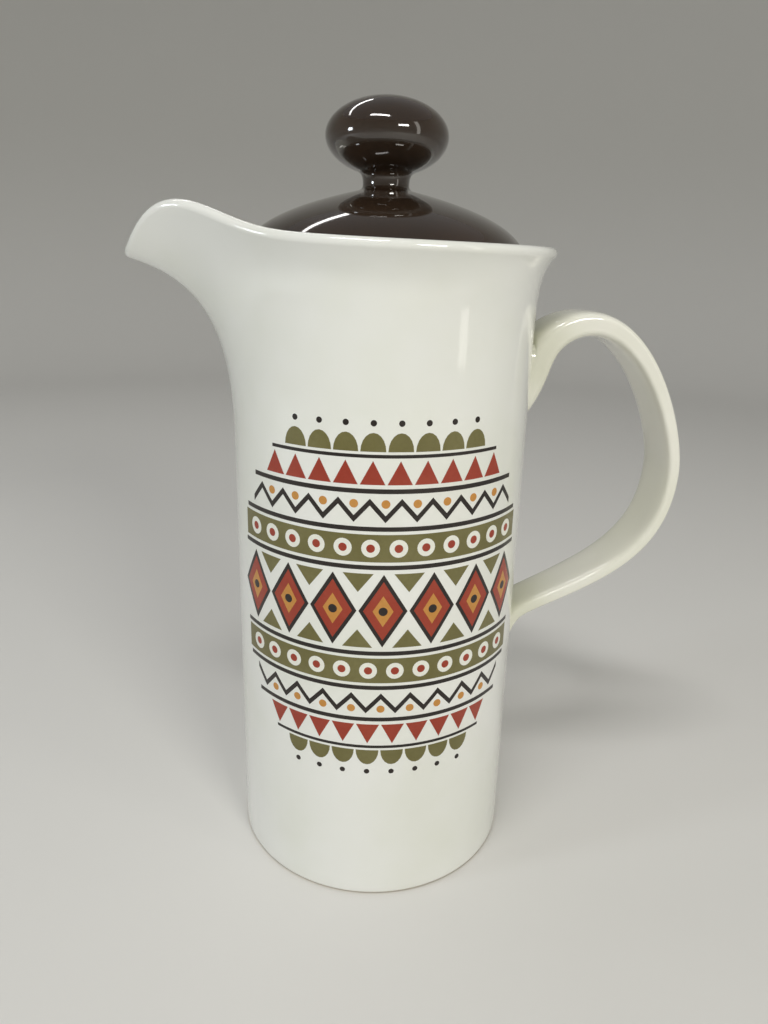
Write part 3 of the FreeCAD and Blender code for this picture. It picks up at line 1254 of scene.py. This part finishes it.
class Motif(Enum):
    """The shapes that the transfer repeats."""

    BAR = "bar"
    LOZENGE = "lozenge"
    DISC = "disc"
    TRIANGLE = "triangle"
    SCALLOP = "scallop"
    ZIGZAG = "zigzag"

    def outline(self, x: Value, waves: Value) -> tuple[Number, Number, Number]:
        """The shape's edges in a square from -1 to 1.

        Args:
            x: Even steps from its left end, -1, to its right end, 1.
            waves: How many peaks a zigzag has.

        Returns:
            How far across each step lies, and its lower and upper edge.
        """
        peak = 1 - abs(x)
        sweep = x * (math.pi / 2)
        wave = x.tree.math("PINGPONG", (x + 1) * waves, 1.0) * 2 - 1
        stroke = 0.4
        edges = {
            Motif.BAR: (x, -1.0, 1.0),
            Motif.LOZENGE: (x, -peak, peak),
            Motif.DISC: (sweep.sin(), -sweep.cos(), sweep.cos()),
            Motif.TRIANGLE: (x, -1.0, peak * 2 - 1),
            Motif.SCALLOP: (sweep.sin(), -1.0, sweep.cos() * 2 - 1),
            Motif.ZIGZAG: (x, wave - stroke, wave + stroke),
        }
        return edges[self]


@dataclass(frozen=True)
class Row:
    """A row of one motif in one ink across the transfer, with its sizes in millimetres."""

    motif: Motif
    ink: Ink
    level: float
    width: float
    height: float
    count: int = 1
    pitch: float = 0.0
    layer: int = 0
    steps: int = 10
    waves: int = 1
    points_out: bool = True


class MotifTree(GeometryTree):
    """A tree that prints a row of one motif round the barrel, as thin closed islands of ink."""

    def __init__(self, motif: Motif) -> None:
        """Builds the tree.

        Args:
            motif: The shape that it repeats.
        """
        row_sizes = ("Width", "Height", "Level", "Upright", "Pitch", "Sink", "Lift")
        sizes = dict.fromkeys((*row_sizes, "Middle", "Radius", "Taper", "Turn"), SocketKind.NUMBER)
        counts = dict.fromkeys(("Count", "Waves", "Steps"), SocketKind.COUNT)
        super().__init__("row_of_" + motif.value + "s", {**sizes, **counts})
        count, pitch = self.number("Count"), self.number("Pitch")
        start = self.vector((count - 1) * pitch / -2, self.number("Level"), 0.0)
        line = {"Count": count, "Start Location": start, "Offset": self.vector(pitch, 0.0, 0.0)}
        points = self.geometry("GeometryNodeMeshLine", {"mode": "OFFSET"}, line)
        row = {"Points": points, "Instance": self.island(motif)}
        islands = self.geometry("GeometryNodeInstanceOnPoints", {}, row)
        self.finish(self.wrapped(self.geometry("GeometryNodeRealizeInstances", {}, {0: islands})))

    def island(self, motif: Motif) -> Socket:
        """One closed island of ink, lying flat.

        Args:
            motif: Its shape.

        Returns:
            The island.
        """
        cube = {"Size": (2.0, 2.0, 2.0), "Vertices X": self.number("Steps") + 1}
        block = self.geometry("GeometryNodeMeshCube", {}, cube)
        x, y, z = self.position()
        across, low, high = motif.outline(x, self.number("Waves"))
        up = (y + 1) / 2 * (high - low) + low
        half_width = self.number("Width") / 2
        half_height = self.number("Height") / 2 * self.number("Upright")
        sink = self.number("Sink")
        thick = (z + 1) / 2 * (self.number("Lift") + sink) - sink
        return self.merged(self.placed(block, across * half_width, up * half_height, thick))

    def wrapped(self, flat: Socket) -> Socket:
        """Lays a flat print round the tapered barrel.

        Args:
            flat: The print.

        Returns:
            The print on the barrel.
        """
        across, up, thick = self.position()
        height = up + self.number("Middle")
        angle = across / self.number("Radius") + self.number("Turn")
        radius = self.number("Radius") + self.number("Taper") * height + thick
        return self.placed(flat, radius * angle.sin(), -(radius * angle.cos()), height)


@dataclass(frozen=True)
class Transfer:
    """A plain geometric print of level bands, fired on to both sides of the barrel."""

    barrel: Barrel = Barrel()
    middle: float = 108.0 * MM
    turns: Pair = (math.radians(-4.5), math.radians(184.5))
    sink: float = 0.02 * MM
    lift: float = 0.03 * MM
    layer_lift: float = 0.015 * MM
    centre_rows: tuple[Row, ...] = (
        Row(Motif.LOZENGE, Ink.BROWN, 0.0, 15.0, 24.0, 7, 15.6),
        Row(Motif.LOZENGE, Ink.RUST, 0.0, 12.2, 19.4, 7, 15.6, 1),
        Row(Motif.LOZENGE, Ink.OCHRE, 0.0, 6.4, 10.2, 7, 15.6, 2),
        Row(Motif.DISC, Ink.BROWN, 0.0, 2.8, 2.8, 7, 15.6, 3),
    )
    mirrored_rows: tuple[Row, ...] = (
        Row(Motif.TRIANGLE, Ink.OLIVE, 9.2, 9.4, 6.0, 6, 15.6, points_out=False),
        Row(Motif.BAR, Ink.BROWN, 14.2, 106.0, 1.4, steps=90),
        Row(Motif.BAR, Ink.OLIVE, 20.2, 105.0, 8.6, steps=90),
        Row(Motif.DISC, Ink.WHITE, 20.2, 5.6, 5.6, 12, 8.4, 1),
        Row(Motif.DISC, Ink.RUST, 20.2, 2.6, 2.6, 12, 8.4, 2),
        Row(Motif.BAR, Ink.BROWN, 26.2, 103.0, 1.4, steps=90),
        Row(Motif.ZIGZAG, Ink.BROWN, 31.8, 94.0, 5.2, steps=100, waves=10),
        Row(Motif.DISC, Ink.OCHRE, 33.8, 2.6, 2.6, 9, 9.4),
        Row(Motif.BAR, Ink.BROWN, 37.6, 92.0, 1.4, steps=80),
        Row(Motif.TRIANGLE, Ink.RUST, 43.0, 7.4, 7.0, 10, 8.0),
        Row(Motif.BAR, Ink.BROWN, 47.8, 74.0, 1.0, steps=64),
        Row(Motif.SCALLOP, Ink.OLIVE, 51.8, 7.4, 5.4, 8, 8.0),
        Row(Motif.DISC, Ink.BROWN, 57.2, 1.8, 1.8, 8, 8.0),
    )

    def sizes(self, row: Row, side: int, turn: float) -> dict[str, float]:
        """The tree's inputs for one row.

        Args:
            row: The row.
            side: 1 above the middle of the print and -1 below it.
            turn: Angle of the print's middle round the barrel.

        Returns:
            The inputs by name.
        """
        return {
            "Width": row.width * MM,
            "Height": row.height * MM,
            "Level": row.level * side * MM,
            "Upright": float(side if row.points_out else -side),
            "Pitch": row.pitch * MM,
            "Count": row.count,
            "Steps": row.steps,
            "Waves": row.waves,
            "Sink": self.sink,
            "Lift": self.lift + self.layer_lift * row.layer,
            "Middle": self.middle,
            "Radius": self.barrel.foot_radius,
            "Taper": self.barrel.taper,
            "Turn": turn,
        }

    def build(self) -> None:
        """Makes one piece for each ink."""
        trees = {motif: MotifTree(motif) for motif in Motif}
        shells: dict[Ink, list[Shell]] = {ink: [] for ink in Ink}
        finishes = {ink: Enamel(ink).material() for ink in Ink}
        rows = [(row, 1) for row in self.centre_rows]
        rows += [(row, side) for row in self.mirrored_rows for side in (1, -1)]
        for turn in self.turns:
            for row, side in rows:
                values = {**self.sizes(row, side, turn), "Finish": finishes[row.ink]}
                printed = trees[row.motif].mesh(bpy.data.meshes.new("start"), values)
                shells[row.ink].append(shell_of(printed))
        for ink in Ink:
            name = "transfer_" + ink.name.lower()
            Piece(name, Body.POT, "white_glaze").place(joined(name, shells[ink]), finishes[ink])


@dataclass(frozen=True)
class Viewpoint:
    """Where the photograph was taken from."""

    place: Point = (-30.4 * MM, -247.6 * MM, 208.0 * MM)
    heading: float = math.radians(7.47)
    pitch: float = math.radians(18.87)
    roll: float = math.radians(1.51)
    sensor: float = 36.0
    focal_pixels: float = 740.0
    image_height: float = 1024.0
    nearest: float = 10.0 * MM

    def build(self) -> None:
        """Makes the camera."""
        data = bpy.data.cameras.new("camera")
        data.sensor_width = self.sensor
        data.lens = self.focal_pixels / self.image_height * self.sensor
        data.clip_start = self.nearest
        across, ahead = math.sin(self.heading), math.cos(self.heading)
        level = math.cos(self.pitch)
        forward = Vector((across * level, ahead * level, -math.sin(self.pitch)))
        right = Vector((ahead, -across, 0.0))
        up = right.cross(forward)
        tipped_right = right * math.cos(self.roll) + up * math.sin(self.roll)
        tipped_up = up * math.cos(self.roll) - right * math.sin(self.roll)
        camera = bpy.data.objects.new("camera", data)
        turned = Matrix((tipped_right, tipped_up, -forward)).transposed()
        camera.matrix_world = Matrix.Translation(self.place) @ turned.to_4x4()
        bpy.context.scene.collection.objects.link(camera)
        bpy.context.scene.camera = camera


@dataclass(frozen=True)
class Lamp:
    """A soft rectangular lamp that faces the pot."""

    name: str
    place: Point
    size: Pair
    power: float
    tint: Colour

    def build(self, target: Vector) -> None:
        """Makes the lamp.

        Args:
            target: The point that it faces.
        """
        data = bpy.data.lights.new(self.name, "AREA")
        data.shape = "RECTANGLE"
        data.size, data.size_y = self.size
        data.energy = self.power
        data.color = self.tint
        lamp = bpy.data.objects.new(self.name, data)
        lamp.location = self.place
        lamp.rotation_euler = (target - Vector(self.place)).to_track_quat("-Z", "Y").to_euler()
        bpy.context.scene.collection.objects.link(lamp)


@dataclass(frozen=True)
class Studio:
    """A plain pale floor that curves up all round, and soft light."""

    floor_radius: float = 1.1
    cove_radius: float = 0.5
    cove_height: float = 1.6
    columns: int = 96
    floor_colour: Colour = fired(225, 224, 221)
    wall_colour: Colour = fired(204, 203, 199)
    roughness: float = 0.9
    sky_colour: Colour = fired(246, 247, 248)
    sky_strength: float = 0.23
    lamps: tuple[Lamp, ...] = (
        Lamp("ceiling_lamp", (-0.26, -0.5, 1.25), (0.55, 0.1), 5.2, (1.0, 0.985, 0.96)),
        Lamp("back_lamp", (-0.45, 0.6, 1.2), (1.0, 0.05), 1.4, (1.0, 0.985, 0.96)),
        Lamp("key_lamp", (0.42, -0.98, 0.62), (0.35, 0.12), 4.7, (1.0, 0.985, 0.91)),
        Lamp("window_lamp", (-0.98, -0.24, 0.31), (0.14, 0.16), 1.8, (0.88, 0.95, 1.0)),
        Lamp("side_lamp", (0.62, -0.5, 0.4), (0.1, 0.7), 0.4, (1.0, 0.96, 0.88)),
    )

    def profile(self) -> Profile:
        """The floor and the cove.

        Returns:
            Their half section, from the middle of the floor up.
        """
        points = [(self.floor_radius * share, 0.0) for share in (0.0, 0.25, 0.5, 0.75)]
        points += round_edge((self.floor_radius, self.cove_radius), self.cove_radius, -90, 0, 16)
        return points + [(self.floor_radius + self.cove_radius, self.cove_height)]

    def build_floor(self, lathe: Lathe) -> None:
        """Makes the floor and the cove.

        Args:
            lathe: The tree that turns round pieces.
        """
        shader = ShaderTree("studio_floor")
        height = shader.axes(shader.place)[2].between(0.0, self.cove_radius)
        shader.feed("Base Color", shader.blend(height, self.floor_colour, self.wall_colour))
        shader.feed("Roughness", self.roughness)
        mesh = lathe.turn("studio_floor", self.profile(), self.columns, shader.material)
        mesh.shade_smooth()
        floor = bpy.data.objects.new("studio_floor", mesh)
        bpy.context.scene.collection.objects.link(floor)
        floor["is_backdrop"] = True

    def build_sky(self) -> None:
        """Makes the even light from all round."""
        world = bpy.data.worlds.new("studio_sky")
        world.use_nodes = True
        sky = world.node_tree.nodes["Background"]
        sky.inputs["Color"].default_value = (*self.sky_colour, 1.0)
        sky.inputs["Strength"].default_value = self.sky_strength
        bpy.context.scene.world = world

    def build(self, lathe: Lathe, target: Vector) -> None:
        """Makes the floor, the sky and the lamps.

        Args:
            lathe: The tree that turns round pieces.
            target: The point that the lamps face.
        """
        self.build_floor(lathe)
        self.build_sky()
        bpy.context.scene.view_settings.view_transform = "Standard"
        for lamp in self.lamps:
            lamp.build(target)


def main() -> None:
    """Builds the dressed pot and its studio."""
    logging.basicConfig(level=logging.INFO, format="%(name)s: %(message)s")
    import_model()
    cad_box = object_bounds()
    pot = PotBody()
    lid = LidAssembly(pot)
    lathe = Lathe()
    handle = StrapHandle(pot.barrel)
    cream = WhiteGlaze(name="cream_glaze", colour=fired(238, 237, 228), pooled=fired(230, 230, 216))
    pot.build(lid.bore, WhiteGlaze().material(handle.roots()))
    handle.build(cream.material(handle.roots()))
    lid.build(lathe, BrownGlaze().material(lid.radius, lid.skirt_radius, pot.seat_height))
    Transfer(pot.barrel).build()
    Viewpoint().build()
    Studio().build(lathe, (cad_box[0] + cad_box[1]) / 2)


if __name__ == "__main__":
    main()
